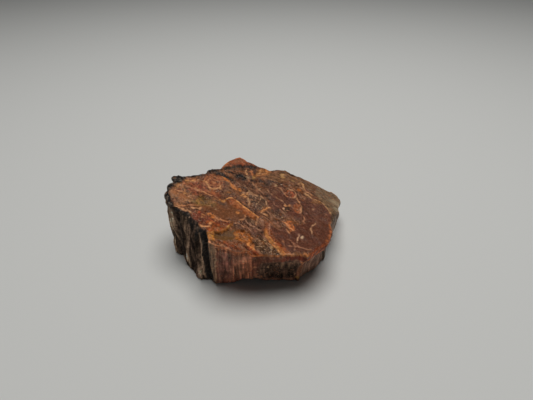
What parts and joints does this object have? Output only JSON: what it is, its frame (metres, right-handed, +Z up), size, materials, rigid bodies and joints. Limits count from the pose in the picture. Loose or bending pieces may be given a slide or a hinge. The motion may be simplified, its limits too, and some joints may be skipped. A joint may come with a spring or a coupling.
{
  "type": "rough petrified wood",
  "caption": "Rough chunk of petrified wood: broken agate-like cross-section on top, ridged dark bark down one side, split faces around, and a flat underside to rest on.",
  "frame": {"origin": "centre of the bounding box on the surface that the stone rests on", "axes": "+X along the stone's length, with the bark side at -X; +Y to its back; +Z up, towards the broken cross-section"},
  "size_m": [0.0712, 0.062, 0.0292],
  "materials": {
    "petrified_wood": "waxy to semi-gloss on the broken top, dull and rough on the bark"
  },
  "bodies": {
    "root": {"petrified_wood": "petrified_wood"}
  },
  "joints": []
}
